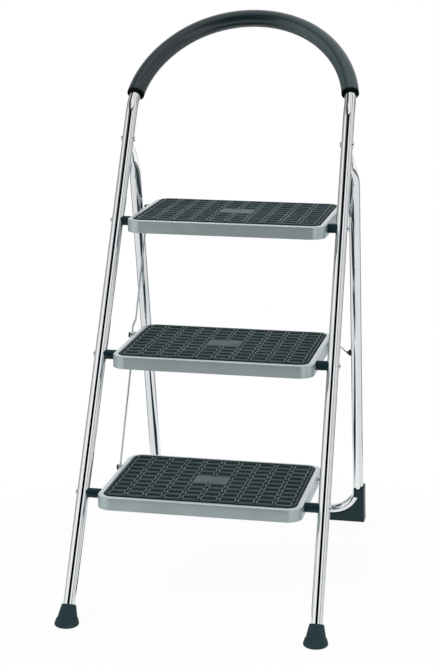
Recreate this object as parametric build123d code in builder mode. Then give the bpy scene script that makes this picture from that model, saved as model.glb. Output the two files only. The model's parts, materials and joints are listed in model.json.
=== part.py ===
"""Folding three-step stool: chrome tube frames, sheet steel treads, rubber mats and a foam grip.

Millimetres, +Z up, the front towards -Y, the origin on the floor under the middle of the stance.
The front frame is one bent tube. Everything that turns, turns about an axis along X.
"""
import os
from math import atan2, cos, radians, sin, tan

from build123d import *

# Stance of the two frames
step_names = ("bottom", "middle", "top")
step_rise = 230.0
first_axle_height = 214.0
leg_lean = 26.8
leg_draw_in = 0.97
leg_half_width = 224.0
pivot_rise = 145.0
rear_lean = 14.2
rear_spread = 5.5
rear_setback = 52.5
rear_bar_clear = 11.0

# Chrome tube of both frames
tube_d = 22.0
tube_wall = 1.5
rear_bend_radius = 57.0

# Bow at the top of the front frame
spring_rise = 57.5
bow_lean_back = 20.0
bow_bend_radius = 76.0
shoulder_radius = 232.0
shoulder_heading = 45.0
grip_wall = 5.6
grip_turn = 5.5

# Treads
tread_depth = 271.0
tread_corner = 28.0
tread_nose = 50.0
tread_sheet = 1.2
lip_below_axle = 13.9
room_under_mat = 0.5
rim_width = 10.0
rim_round = 3.0
mat_recess = 3.0
mat_proud = 2.0
mat_edge_drop = 1.8
mat_edge_slope = 2.5
mat_border = 5.0
mat_groove = 2.0
mat_columns = 10
mat_rows = 10
mat_plate_cells = 2
mat_rib = 8.4
mat_pocket_depth = 1.9

# Axles, bushes and rivets
axle_d = 8.0
bush_wall = 4.75
bush_least = 14.7
cap_rim = 2.0
cap_proud = 3.0
cap_edge = 1.8
rivet_d = 6.0
rivet_rim = 2.5
rivet_head_proud = 2.5
rivet_dome = 2.0

# Linkage between the treads and the rear frame
stud_inset = 62.0
stud_d = 6.0
stud_shoulder = 2.0
stud_foot = 2.0
rod_d = 3.6
eye_width = 4.0
eye_rim = 4.0
joggle_clear = 18.0
joggle_length = 14.0
joggle_bend = 7.0
stud_cap_rim = 2.5
stud_cap_length = 3.6
stud_cap_edge = 1.2
stay_pin_rim = 3.0
step_fold = 57.0
rear_fold = leg_lean + rear_lean

# Flattened ends of the rear legs
tab_thickness = 6.0
tab_room = 1.5
tab_plate_length = 55.0
tab_neck_start = 36.0
tab_neck_mid = 60.0
tab_neck_flare = 3.0
tab_neck_thickness = 10.0
tab_drop = 74.0
slot_clearance = 0.4
slot_margin = 3.0

# Feet and corner shoes
foot_wall = 2.0
foot_flare = 9.0
foot_length = 37.0
foot_edge = 3.0
foot_base_land = 1.0
foot_step_share = 0.36
foot_step = 1.3
foot_sole = 10.0
leg_overlap = 3.0
bar_overlap = 22.5
shoe_wall = 2.5
shoe_collar = 20.0
shoe_cheek = 2.5
shoe_cover = 6.5
shoe_edge = 2.0

# Fits
running_fit = 0.05
seat_fit = 0.05
side_gap = 0.4
mat_gap = 0.3

# Sizes that follow
tube_r = tube_d / 2
grip_d = tube_d + 2 * grip_wall
bush_d = axle_d + 2 * bush_wall
cap_d = axle_d + 2 * cap_rim
rivet_head_d = rivet_d + 2 * rivet_rim
stud_shoulder_d = stud_d + 2 * stud_shoulder
stud_cap_d = stud_d + 2 * stud_cap_rim
stay_pin_d = stud_d + 2 * stay_pin_rim
stud_setback = tread_depth - tread_nose - stud_inset
rim_above_axle = mat_recess + tread_sheet + room_under_mat + max(axle_d, stud_shoulder_d) / 2
tread_lip = rim_above_axle + lip_below_axle
tab_width = tube_d - 2 * tube_wall - 2 * tab_room
tab_neck_width = tube_d + 2 * tab_neck_flare
foot_top_d = tube_d + 2 * foot_wall
foot_base_d = foot_top_d + 2 * foot_flare
foot_base_height = foot_edge + foot_base_land
tube_end = foot_base_height + foot_sole
shoe_depth = tube_d + 2 * shoe_cheek
leg_sin = sin(radians(leg_lean))
leg_cos = cos(radians(leg_lean))
rear_sin = sin(radians(rear_lean))
rear_cos = cos(radians(rear_lean))
draw_sin = sin(radians(leg_draw_in))
draw_cos = cos(radians(leg_draw_in))
axle_heights = [first_axle_height + step_rise * count for count in range(len(step_names))]
axle_alongs = [height / leg_cos for height in axle_heights]
pivot_height = axle_heights[-1] + pivot_rise
pivot_along = pivot_height / leg_cos
spring_along = (pivot_height + spring_rise) / leg_cos
bow_sin = sin(radians(leg_lean + bow_lean_back))
bow_cos = cos(radians(leg_lean + bow_lean_back))
bow_bend_reach = bow_bend_radius * tan(radians(bow_lean_back / 2))
mat_inset = rim_width + mat_gap
rear_bar_height = tube_r + rear_bar_clear
rear_bar_drop = (pivot_height + rear_setback * rear_sin - rear_bar_height) / rear_cos
rear_bar_behind = pivot_along * leg_sin + rear_setback * rear_cos + rear_bar_drop * rear_sin
shoe_back = rear_bar_behind + (shoe_depth / 2 + rear_bar_height * rear_sin) / rear_cos
foot_front = foot_base_d / 2 - foot_base_height * leg_sin / leg_cos
front_y = (foot_front - shoe_back) / 2


def leg_half(along):
    """Half the distance between the front leg axes, a given way up the legs."""
    return leg_half_width - along * draw_sin / draw_cos


def on_leg(x, along):
    """A point of the front legs' plane, a given way up the legs."""
    return Vector(x, front_y + along * leg_sin, along * leg_cos)


def on_bow(x, rise):
    """A point of the bow's plane, a given way up from the line where it bends back."""
    return on_leg(x, spring_along) + Vector(0, rise * bow_sin, rise * bow_cos)


def on_rear(x, down):
    """A point of the rear legs' plane, a given way down from beside the pivot."""
    pivot = on_leg(x, pivot_along)
    y = pivot.Y + rear_setback * rear_cos + down * rear_sin
    return Vector(x, y, pivot.Z + rear_setback * rear_sin - down * rear_cos)


def keep(builder, name):
    """Label a finished piece and write it."""
    builder.part.label = name
    export_step(builder.part, f"parts/{name}.step")


def keep_pair(builder, name):
    """Write a piece of the right-hand side and its mirror image on the left."""
    keep(builder, f"{name}_right")
    with BuildPart() as twin:
        mirror(builder.part, about=Plane.YZ)
    keep(twin, f"{name}_left")


os.makedirs("parts", exist_ok=True)

standing = (Align.CENTER, Align.CENTER, Align.MIN)
axle_points = [on_leg(0, along) for along in axle_alongs]
pivot_half = leg_half(pivot_along)
pivot_point = on_leg(pivot_half, pivot_along)
rear_half_width = pivot_half + rear_spread
leg_plane = Plane(on_leg(0, 0), x_dir=(1, 0, 0), z_dir=(0, -leg_cos, leg_sin))

# Front frame: a tube from one foot, over the bow, to the other foot
bend_along = spring_along - bow_bend_reach
bend_half = leg_half(bend_along)
bow_half = leg_half(spring_along + bow_bend_reach)
heading_sin = sin(radians(shoulder_heading))
heading_cos = cos(radians(shoulder_heading))
crown_radius = (bow_half - shoulder_radius * (draw_cos - heading_sin)) / heading_sin
crown_half = crown_radius * heading_sin
crown_start = bow_bend_reach + shoulder_radius * (heading_cos - draw_sin)
crown_rise = crown_start + crown_radius * (1 - heading_cos)


def bow_arcs(turn):
    """The bow's centre line, left to right, from where the shoulder has turned by an angle."""
    heading = radians(90 - leg_draw_in - turn)
    half = bow_half - shoulder_radius * (draw_cos - sin(heading))
    rise = bow_bend_reach + shoulder_radius * (cos(heading) - draw_sin)
    start = on_bow(-half, rise)
    up = on_bow(cos(heading), sin(heading)) - on_bow(0, 0)
    shoulder = TangentArc(start, on_bow(-crown_half, crown_start), tangent=up)
    crown = ThreePointArc(shoulder @ 1, on_bow(0, crown_rise), on_bow(crown_half, crown_start))
    TangentArc(crown @ 1, on_bow(half, rise), tangent=crown % 1)


with BuildPart() as leg_solid:
    for side in (-1, 1):
        low = on_leg(side * leg_half(tube_end), tube_end)
        high = on_leg(side * bend_half, bend_along)
        with BuildSketch(Plane(low, z_dir=high - low)):
            Circle(tube_r + seat_fit)
        extrude(amount=(high - low).length)

# The slot at each pivot takes the flattened rear leg from its open to its folded angle
tab_bend = atan2(rear_setback, tab_drop)
tab_angle_open = radians(leg_lean + rear_lean) + tab_bend
tab_angle_folded = tab_angle_open - radians(rear_fold)
slot_low = -tube_r / tan(tab_angle_folded) - tab_width / 2 / sin(tab_angle_folded) - slot_margin
slot_high = -tube_r / tan(tab_angle_open) + tab_width / 2 / sin(tab_angle_open) + slot_margin
slot_middle = pivot_along + (slot_low + slot_high) / 2

with BuildPart() as front_frame:
    with BuildLine() as front_line:
        leg_up = Line(on_leg(-leg_half(tube_end), tube_end), on_leg(-bend_half, bend_along))
        TangentArc(leg_up @ 1, on_bow(-bow_half, bow_bend_reach), tangent=leg_up % 1)
        bow_arcs(0)
        leg_down = Line(on_leg(bend_half, bend_along), on_leg(leg_half(tube_end), tube_end))
        TangentArc(leg_down @ 0, on_bow(bow_half, bow_bend_reach), tangent=leg_down % 0 * -1)
    with BuildSketch(Plane(front_line.wire() @ 0, z_dir=front_line.wire() % 0)):
        Circle(tube_r)
        Circle(tube_r - tube_wall, mode=Mode.SUBTRACT)
    sweep()
    with BuildSketch(Plane.YZ):
        with Locations([(point.Y, point.Z) for point in axle_points]):
            Circle(axle_d / 2 + seat_fit)
        with Locations((pivot_point.Y, pivot_point.Z)):
            Circle(rivet_d / 2 + seat_fit)
    extrude(amount=leg_half_width + tube_d, both=True, mode=Mode.SUBTRACT)
    with BuildSketch(leg_plane):
        with Locations((pivot_half, slot_middle), (-pivot_half, slot_middle)):
            Rectangle(tab_thickness + 2 * slot_clearance, slot_high - slot_low)
    extrude(amount=-tube_d, mode=Mode.SUBTRACT)
keep(front_frame, "front_frame")

with BuildPart() as handle_grip:
    with BuildLine() as grip_line:
        bow_arcs(grip_turn)
    with BuildSketch(Plane(grip_line.wire() @ 0, z_dir=grip_line.wire() % 0)):
        Circle(grip_d / 2)
        Circle(tube_r + seat_fit, mode=Mode.SUBTRACT)
    sweep()
keep(handle_grip, "handle_grip")

# Front feet: a flat base, a lower cone, a small step and an upper cone round the tube's end
foot_step_along = foot_length * foot_step_share
foot_step_d = foot_base_d + (foot_top_d - foot_base_d) * foot_step_share


def foot_section(along, share, diameter):
    """A round section of a foot: level at the floor, square to the leg at the top."""
    lean = radians(leg_lean * share)
    place = on_leg(leg_half(along), along)
    with BuildSketch(Plane(place, x_dir=(1, 0, 0), z_dir=(0, sin(lean), cos(lean)))) as section:
        Circle(diameter / 2)
    return section.sketch


with BuildPart() as front_foot:
    base_along = foot_base_height / leg_cos
    base_centre = on_leg(leg_half(base_along), base_along)
    with BuildSketch(Plane((base_centre.X, base_centre.Y, 0))):
        Circle(foot_base_d / 2)
    extrude(amount=foot_base_height)
    chamfer(front_foot.faces().sort_by(Axis.Z)[0].edges(), foot_edge)
    sole = foot_section(base_along, 0, foot_base_d)
    skirt = foot_section(foot_step_along, foot_step_share, foot_step_d + foot_step)
    loft(sections=[sole, skirt], ruled=True)
    waist = foot_section(foot_step_along, foot_step_share, foot_step_d - foot_step)
    collar = foot_section(foot_length, 1, foot_top_d)
    loft(sections=[waist, collar], ruled=True)
    add(leg_solid.part, mode=Mode.SUBTRACT)
keep_pair(front_foot, "front_foot")

# Pivots of the rear frame: a rivet across each front leg
with BuildPart() as pivot_rivet:
    with BuildSketch(Plane(pivot_point, x_dir=(0, 1, 0), z_dir=(1, 0, 0))):
        Circle(rivet_head_d / 2)
    extrude(amount=tube_r + rivet_head_proud, both=True)
    fillet(pivot_rivet.edges(), rivet_dome)
    add(leg_solid.part, mode=Mode.SUBTRACT)
    with BuildSketch(Plane(pivot_point, x_dir=(0, 1, 0), z_dir=(1, 0, 0))):
        Circle(rivet_d / 2)
    extrude(amount=tube_r, both=True)
keep_pair(pivot_rivet, "pivot_rivet")

# The legs are closest at the top axle, where the shortest bush sets the width of the treads.
# Lanes beside the treads, outwards: stay link, tie rods, joggled end of the upper rod
tread_side = leg_half(axle_alongs[-1]) - tube_r - bush_least
tread_width = 2 * tread_side
stay_lane = tread_side + side_gap
rod_lane = stay_lane + eye_width + side_gap
outer_lane = rod_lane + eye_width + side_gap
last_lane = outer_lane + eye_width + side_gap


def across(point, x):
    """A plane square to X through a point's height and depth, at a given distance from the middle."""
    return Plane((x, point.Y, point.Z), x_dir=(0, 1, 0), z_dir=(1, 0, 0))


def round_bar(point, start, end, diameter, bore=0.0):
    """A round bar or a ring along X between two distances from the middle."""
    with Locations(across(point, start)):
        Cylinder(diameter / 2, end - start, align=standing)
        if bore:
            Cylinder(bore / 2, end - start, align=standing, mode=Mode.SUBTRACT)


def make_axle(name, along):
    """One tread's axle through both legs, its bushes and its end caps."""
    centre = on_leg(0, along)
    half = leg_half(along)
    axle_end = half + tube_r + cap_proud / 2
    bore = axle_d + 2 * seat_fit
    with BuildPart() as axle:
        round_bar(centre, -axle_end, axle_end, axle_d)
    keep(axle, f"axle_{name}")
    with BuildPart() as bush:
        round_bar(centre, tread_side + side_gap, half, bush_d, bore)
        add(leg_solid.part, mode=Mode.SUBTRACT)
    keep_pair(bush, f"bush_{name}")
    with BuildPart() as caps:
        round_bar(centre, half, half + tube_r + cap_proud, cap_d)
        fillet(caps.edges().sort_by(Axis.X)[-1], cap_edge)
        with BuildSketch(across(centre, half)):
            Circle(bore / 2)
        extrude(amount=axle_end - half, mode=Mode.SUBTRACT)
        add(leg_solid.part, mode=Mode.SUBTRACT)
        mirror(about=Plane.YZ)
    keep(caps, f"axle_caps_{name}")


def tread_outline(inset, mode=Mode.ADD):
    """The rounded rectangle of a tread, drawn in by an inset."""
    RectangleRounded(tread_width - 2 * inset, tread_depth - 2 * inset, tread_corner - inset, mode=mode)


mat_field = mat_inset + mat_border + mat_groove
column_pitch = (tread_width - 2 * mat_field) / mat_columns
row_pitch = (tread_depth - 2 * mat_field) / mat_rows


def make_tread(name, axle):
    """One sheet steel tread with its rubber mat, and the studs and stud caps of its linkage."""
    rim = axle.Z + rim_above_axle
    middle = axle.Y - tread_nose + tread_depth / 2
    stud = axle + Vector(0, stud_setback, 0)
    with BuildPart() as pan:
        with BuildSketch(Plane((0, middle, rim - tread_lip))):
            tread_outline(0)
        extrude(amount=tread_lip)
        fillet(pan.faces().sort_by(Axis.Z)[-1].edges(), rim_round)
        with BuildSketch(Plane((0, middle, rim))):
            tread_outline(rim_width)
        extrude(amount=-mat_recess, mode=Mode.SUBTRACT)
        with BuildSketch(Plane((0, middle, rim - tread_lip))):
            tread_outline(tread_sheet)
        extrude(amount=tread_lip - mat_recess - tread_sheet, mode=Mode.SUBTRACT)
        with BuildSketch(Plane.YZ):
            with Locations((axle.Y, axle.Z)):
                Circle(axle_d / 2 + running_fit)
            with Locations((stud.Y, stud.Z)):
                Circle(stud_d / 2 + seat_fit)
        extrude(amount=tread_width, both=True, mode=Mode.SUBTRACT)
    keep(pan, f"tread_{name}")

    with BuildPart() as mat:
        with BuildSketch(Plane((0, middle, rim - mat_recess))):
            tread_outline(mat_inset)
        extrude(amount=mat_recess + mat_proud)
        chamfer(mat.faces().sort_by(Axis.Z)[-1].edges(), mat_edge_drop, mat_edge_slope)
        with BuildSketch(Plane((0, middle, rim + mat_proud))):
            tread_outline(mat_inset + mat_border)
            tread_outline(mat_field, mode=Mode.SUBTRACT)
            with GridLocations(column_pitch, row_pitch, mat_columns, mat_rows):
                Rectangle(column_pitch - mat_rib, row_pitch - mat_rib)
            Rectangle(mat_plate_cells * column_pitch, mat_plate_cells * row_pitch, mode=Mode.SUBTRACT)
        extrude(amount=-mat_pocket_depth, mode=Mode.SUBTRACT)
    keep(mat, f"mat_{name}")

    middle_step = name == "middle"
    cap_start = last_lane if middle_step else outer_lane
    stud_tip = cap_start + stud_cap_length / 2
    with BuildPart() as studs:
        round_bar(stud, tread_side - tread_sheet - stud_foot, tread_side - tread_sheet, stud_shoulder_d)
        round_bar(stud, tread_side - tread_sheet, stud_tip, stud_d)
        if not middle_step:
            round_bar(stud, tread_side, rod_lane - side_gap, stud_shoulder_d)
        mirror(about=Plane.YZ)
    keep(studs, f"studs_{name}")
    with BuildPart() as caps:
        round_bar(stud, cap_start, cap_start + stud_cap_length, stud_cap_d)
        fillet(caps.edges().sort_by(Axis.X)[-1], stud_cap_edge)
        with BuildSketch(across(stud, cap_start)):
            Circle(stud_d / 2 + seat_fit)
        extrude(amount=stud_tip - cap_start, mode=Mode.SUBTRACT)
        mirror(about=Plane.YZ)
    keep(caps, f"stud_caps_{name}")


for name, along in zip(step_names, axle_alongs):
    make_axle(name, along)
    make_tread(name, on_leg(0, along))

# Tie rods: wire links that keep the three treads level with each other
stud_bottom, stud_middle, stud_top = [point + Vector(0, stud_setback, 0) for point in axle_points]
leg_up = Vector(0, leg_sin, leg_cos)
eye_bore = stud_d + 2 * running_fit
eye_d = eye_bore + 2 * eye_rim
rod_start = (eye_bore + eye_rim) / 2


def at_lane(point, lane):
    """A point of the linkage moved out to the middle of a lane."""
    return Vector(lane + eye_width / 2, point.Y, point.Z)


with BuildPart() as upper_rod:
    with BuildLine() as upper_line:
        FilletPolyline(
            at_lane(stud_top - leg_up * rod_start, rod_lane),
            at_lane(stud_middle + leg_up * (joggle_clear + joggle_length), rod_lane),
            at_lane(stud_middle + leg_up * joggle_clear, outer_lane),
            at_lane(stud_middle + leg_up * rod_start, outer_lane),
            radius=joggle_bend,
        )
    with BuildSketch(Plane(upper_line.wire() @ 0, z_dir=upper_line.wire() % 0)):
        Circle(rod_d / 2)
    sweep()
    round_bar(stud_top, rod_lane, rod_lane + eye_width, eye_d, eye_bore)
    round_bar(stud_middle, outer_lane, outer_lane + eye_width, eye_d, eye_bore)
keep_pair(upper_rod, "upper_tie_rod")


def straight_link(first, second, lane):
    """A straight wire between two eyes in one lane."""
    heading = (second - first).normalized()
    start = at_lane(first + heading * rod_start, lane)
    end = at_lane(second - heading * rod_start, lane)
    with Locations(Plane(start, z_dir=heading)):
        Cylinder(rod_d / 2, (end - start).length, align=standing)
    for eye in (first, second):
        round_bar(eye, lane, lane + eye_width, eye_d, eye_bore)


with BuildPart() as lower_rod:
    straight_link(stud_middle, stud_bottom, rod_lane)
keep_pair(lower_rod, "lower_tie_rod")


# Stay links: the pin on each rear leg sits where one length fits both the open and the folded stool
def turned(vector, angle):
    """A vector turned about X, the +Y side going up."""
    swing = radians(angle)
    return Vector(
        0,
        vector.Y * cos(swing) - vector.Z * sin(swing),
        vector.Y * sin(swing) + vector.Z * cos(swing),
    )


pivot_middle = Vector(0, pivot_point.Y, pivot_point.Z)
open_reach = stud_middle - pivot_middle
folded_reach = axle_points[1] + turned(stud_middle - axle_points[1], step_fold) - pivot_middle
reach_change = open_reach - turned(folded_reach, rear_fold)
rear_behind = Vector(0, rear_cos, rear_sin)
rear_down = Vector(0, rear_sin, -rear_cos)
half_gain = (open_reach.dot(open_reach) - folded_reach.dot(folded_reach)) / 2
stay_pin_drop = (half_gain - rear_setback * reach_change.dot(rear_behind)) / reach_change.dot(rear_down)
stay_point = on_rear(0, stay_pin_drop)

with BuildPart() as stay_link:
    straight_link(stud_middle, stay_point, stay_lane)
keep_pair(stay_link, "stay_link")

with BuildPart() as stay_plug:
    round_bar(stay_point, stay_lane - stud_foot, stay_lane, stud_cap_d)
    round_bar(stay_point, stay_lane, stay_lane + eye_width, stud_d)
keep_pair(stay_plug, "stay_plug")

# Rear frame: a U of tube whose ends are flattened, bent forward and drilled for the pivots
rear_bar_y = front_y + rear_bar_behind
rear_plane = Plane((0, rear_bar_y, rear_bar_height), x_dir=(1, 0, 0), z_dir=(0, -rear_cos, -rear_sin))
knee = on_rear(rear_half_width, tab_drop)
tab_heading = Vector(0, knee.Y - pivot_point.Y, knee.Z - pivot_point.Z)
tab_length = tab_heading.length
tab_heading = tab_heading.normalized()


def rear_line():
    """The U of the rear tube, from knee to knee."""
    FilletPolyline(
        on_rear(-rear_half_width, tab_drop),
        on_rear(-rear_half_width, rear_bar_drop),
        on_rear(rear_half_width, rear_bar_drop),
        on_rear(rear_half_width, tab_drop),
        radius=rear_bend_radius,
    )


def neck_section(travel, thickness, width):
    """An oval section of the flattened end, square to the tab, a given way from the pivot."""
    share = (travel - tab_neck_start) / (tab_length - tab_neck_start)
    x = pivot_half + (rear_half_width - pivot_half) * share
    place = Vector(x, pivot_point.Y, pivot_point.Z) + tab_heading * travel
    with BuildSketch(Plane(place, x_dir=(1, 0, 0), z_dir=tab_heading)) as section:
        Ellipse(thickness / 2, width / 2)
    return section.sketch


with BuildPart() as rear_solid:
    with BuildLine() as rear_core_line:
        rear_line()
    with BuildSketch(Plane(rear_core_line.wire() @ 0, z_dir=rear_core_line.wire() % 0)):
        Circle(tube_r + seat_fit)
    sweep()

with BuildPart() as rear_end:
    tip = neck_section(tab_neck_start, tab_thickness, tab_width)
    flat = neck_section(tab_neck_mid, tab_neck_thickness, tab_neck_width)
    with BuildSketch(Plane(knee, x_dir=(1, 0, 0), z_dir=rear_down), mode=Mode.PRIVATE) as full:
        Circle(tube_r)
    loft(sections=[tip, flat, full.sketch])
    tab_plane = Plane(pivot_point, x_dir=tab_heading, z_dir=(1, 0, 0))
    with BuildSketch(tab_plane):
        Circle(tab_width / 2)
        with Locations((tab_plate_length / 2, 0)):
            Rectangle(tab_plate_length, tab_width)
    extrude(amount=tab_thickness / 2, both=True)
    with BuildSketch(tab_plane):
        Circle(rivet_d / 2 + running_fit)
    extrude(amount=tab_thickness, both=True, mode=Mode.SUBTRACT)

with BuildPart() as rear_frame:
    with BuildLine() as rear_path:
        rear_line()
    with BuildSketch(Plane(rear_path.wire() @ 0, z_dir=rear_path.wire() % 0)):
        Circle(tube_r)
        Circle(tube_r - tube_wall, mode=Mode.SUBTRACT)
    sweep()
    with BuildSketch(across(stay_point, -rear_half_width)):
        Circle(stud_d / 2 + seat_fit)
    extrude(amount=2 * rear_half_width, mode=Mode.SUBTRACT)
    add(rear_end.part)
    mirror(rear_end.part, about=Plane.YZ)
keep(rear_frame, "rear_frame")

with BuildPart() as stay_pin:
    round_bar(stay_point, rod_lane, rear_half_width, stay_pin_d)
    add(rear_solid.part, mode=Mode.SUBTRACT)
    round_bar(stay_point, rod_lane, rear_half_width - tube_r + 2 * tube_wall, stud_d)
keep_pair(stay_pin, "stay_pin")

# Corner shoes: moulded blocks clipped round the bends of the rear tube
bend_x = rear_half_width - rear_bend_radius
shoe_out = rear_half_width + tube_r + shoe_wall
shoe_in = bend_x - bar_overlap
shoe_width = shoe_out - shoe_in
shoe_top = rear_bend_radius + leg_overlap
shoe_low = -rear_bar_height / rear_cos - shoe_depth
shoe_height = shoe_top - shoe_low
window_edge = tube_r - shoe_cover
window_radius = rear_bend_radius + window_edge
collar_edge = tube_r + shoe_wall


def block(left, right, low, high, mode=Mode.ADD):
    """A rectangle between two sides and two heights of a sketch."""
    with Locations(((left + right) / 2, (low + high) / 2)):
        Rectangle(right - left, high - low, mode=mode)


with BuildPart() as corner_shoe:
    with BuildSketch(rear_plane):
        block(shoe_in, shoe_out, shoe_low, shoe_top)
        with Locations((bend_x, rear_bend_radius)):
            Circle(window_radius, mode=Mode.SUBTRACT)
        block(bend_x - shoe_width, bend_x, -window_edge, shoe_height, mode=Mode.SUBTRACT)
        block(bend_x, rear_half_width + window_edge, rear_bend_radius, shoe_height, mode=Mode.SUBTRACT)
        block(rear_half_width - collar_edge, shoe_out, shoe_top - shoe_collar, shoe_top)
        block(shoe_in, shoe_in + shoe_collar, shoe_low, collar_edge)
    extrude(amount=shoe_depth / 2, both=True)
    fillet(corner_shoe.faces().sort_by(Axis.X)[-1].edges(), shoe_edge)
    add(rear_solid.part, mode=Mode.SUBTRACT)
    with BuildSketch(Plane((shoe_out, rear_bar_y, 0))):
        Rectangle(4 * shoe_width, 4 * shoe_width)
    extrude(amount=-shoe_height, mode=Mode.SUBTRACT)
keep_pair(corner_shoe, "corner_shoe")
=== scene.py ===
# %% [markdown]
# A folding three-step stool: a bow of chrome tube with a foam grip, three sheet steel treads with
# rubber mats, and a rear frame that swings in when the treads fold up.
# The CAD model gives every size and place. This lesson dresses it: smooth surfaces worked out as
# grids of points, and finishes made from shader nodes.

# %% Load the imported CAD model
import json
import math

import bmesh
import bpy
import numpy as np
from mathutils import Matrix, Vector


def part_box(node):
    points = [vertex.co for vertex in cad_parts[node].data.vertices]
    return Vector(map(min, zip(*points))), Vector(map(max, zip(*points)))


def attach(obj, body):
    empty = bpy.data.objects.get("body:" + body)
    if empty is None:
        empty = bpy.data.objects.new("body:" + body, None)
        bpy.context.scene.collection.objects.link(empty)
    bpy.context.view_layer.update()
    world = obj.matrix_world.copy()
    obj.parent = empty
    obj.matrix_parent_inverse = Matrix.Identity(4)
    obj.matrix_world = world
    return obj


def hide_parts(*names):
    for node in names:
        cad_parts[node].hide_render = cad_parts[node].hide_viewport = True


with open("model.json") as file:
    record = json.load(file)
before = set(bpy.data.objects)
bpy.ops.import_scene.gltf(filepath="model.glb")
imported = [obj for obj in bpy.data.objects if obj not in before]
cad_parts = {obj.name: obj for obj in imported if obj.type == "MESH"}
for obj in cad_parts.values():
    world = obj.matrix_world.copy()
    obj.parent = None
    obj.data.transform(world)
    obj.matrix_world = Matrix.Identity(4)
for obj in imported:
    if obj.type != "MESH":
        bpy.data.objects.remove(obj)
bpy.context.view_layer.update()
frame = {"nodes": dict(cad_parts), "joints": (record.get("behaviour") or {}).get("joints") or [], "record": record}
hinges = {joint["name"]: np.array(joint["pos_m"]) * 1000 for joint in frame["joints"]}
steps = ("bottom", "middle", "top")
sides = (("right", [1, 1, 1]), ("left", [-1, 1, 1]))
across_x = np.array([1.0, 0.0, 0.0])
print("CAD nodes:", len(frame["nodes"]), "hinges:", sorted(hinges))

# %% [markdown]
# Every new piece is one or more grids of points: rows along the piece, columns round it, the last column
# joined to the first. A mesh could be grown from Blender's cylinders and extrusions, but a grid says the
# shape in one formula and keeps its columns in line, which chrome needs. Points are in millimetres, as on
# a drawing, and become metres only when they go into the mesh.

# %% Grids into meshes
crease = math.radians(38)


def quads(rows, columns):
    """Corner numbers of a grid's quads: (i, j), (i, j + 1), (i + 1, j + 1), (i + 1, j)."""
    row = np.arange(rows - 1)[:, None] * columns
    column = np.arange(columns)[None, :]
    beside = (column + 1) % columns
    corners = (row + column, row + beside, row + columns + beside, row + columns + column)
    return np.stack(np.broadcast_arrays(*corners), -1)


def join(*grids):
    """Stacks grids into one list of faces and one of points."""
    faces, points, start = [], [], 0
    for grid in grids:
        rows, columns = grid.shape[:2]
        faces.append(quads(rows, columns).reshape(-1, 4) + start)
        points.append(grid.reshape(-1, 3))
        start += rows * columns
    return np.concatenate(faces), np.concatenate(points)


def put(name, shape, body, nodes, finish, mark=None):
    """Puts faces and their points into a mesh that rides on a body and stands for CAD nodes."""
    faces, points = shape
    mesh = bpy.data.meshes.new(name)
    mesh.vertices.add(len(points))
    mesh.vertices.foreach_set("co", (points * 0.001).astype(np.float32).ravel())
    mesh.loops.add(faces.size)
    mesh.loops.foreach_set("vertex_index", faces.astype(np.int32).ravel())
    mesh.polygons.add(len(faces))
    mesh.polygons.foreach_set("loop_start", np.arange(0, faces.size, 4, dtype=np.int32))
    mesh.update(calc_edges=True)
    if mark is not None:
        mesh.attributes.new("mark", "FLOAT", "POINT").data.foreach_set("value", mark.astype(np.float32))
    work = bmesh.new()
    work.from_mesh(mesh)
    bmesh.ops.remove_doubles(work, verts=work.verts, dist=1e-6)
    bmesh.ops.recalc_face_normals(work, faces=work.faces)
    work.to_mesh(mesh)
    work.free()
    mesh.polygons.foreach_set("use_smooth", np.ones(len(mesh.polygons), dtype=bool))
    mesh.set_sharp_from_angle(angle=crease)
    mesh.materials.append(finish)
    piece = bpy.data.objects.new(name, mesh)
    bpy.context.scene.collection.objects.link(piece)
    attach(piece, body)
    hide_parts(*nodes)
    print(name, "vertices", len(mesh.vertices), "faces", len(mesh.polygons))
    return piece


def circle(count):
    """Unit circle: (cos t, sin t) at even steps of t."""
    t = np.linspace(0, 2 * np.pi, count, endpoint=False)
    return np.stack([np.cos(t), np.sin(t)], -1)


def turned(centre, distances, radii, columns):
    """Shape turned about a line along X: centre + distance * X + radius * (0, cos t, sin t)."""
    ring = np.insert(circle(columns), 0, 0, 1)
    return centre + distances[:, None, None] * across_x + radii[:, None, None] * ring


def ease(value, low, high):
    """0 below low, 1 above high, and 3t^2 - 2t^3 between."""
    t = np.clip((value - low) / (high - low), 0, 1)
    return t * t * (3 - 2 * t)


print("a 3 by 4 ring has", quads(3, 4).reshape(-1, 4).shape[0], "quads")

# %% [markdown]
# Shader maths reads best as plain expressions. This class wraps one output socket, so that `1 - mask`
# or `grain * 0.2 + 0.4` adds the Math nodes by itself. Every other node comes from `Wire.make`.

# %% Shader expressions
class Wire:
    """One output socket of a shader node. Arithmetic on wires adds Math nodes to their tree."""

    def __init__(self, socket):
        self.socket = socket

    @classmethod
    def make(cls, tree, kind, settings=None, sockets=None, out=0):
        """Adds a node: its settings first, then the values or wires of its sockets."""
        node = tree.nodes.new("ShaderNode" + kind)
        for key, value in (settings or {}).items():
            setattr(node, key, value)
        for key, value in (sockets or {}).items():
            if isinstance(value, Wire):
                tree.links.new(value.socket, node.inputs[key])
            else:
                node.inputs[key].default_value = value
        return cls(node.outputs[out])

    def math(self, operation, other, swap=False):
        """Adds a Math node on this wire and another value, the other one first if they are swapped."""
        pair = (other, self) if swap else (self, other)
        return Wire.make(self.socket.id_data, "Math", {"operation": operation}, {0: pair[0], 1: pair[1]})

    def __add__(self, other):
        return self.math("ADD", other)

    def __sub__(self, other):
        return self.math("SUBTRACT", other)

    def __rsub__(self, other):
        return self.math("SUBTRACT", other, True)

    def __mul__(self, other):
        return self.math("MULTIPLY", other)


def linear(red, green, blue):
    """A colour read off a screen, 0 to 255, as the linear colour that Blender works with."""
    c = np.array([red, green, blue]) / 255
    return tuple(np.where(c <= 0.04045, c / 12.92, ((c + 0.055) / 1.055) ** 2.4))


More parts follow.
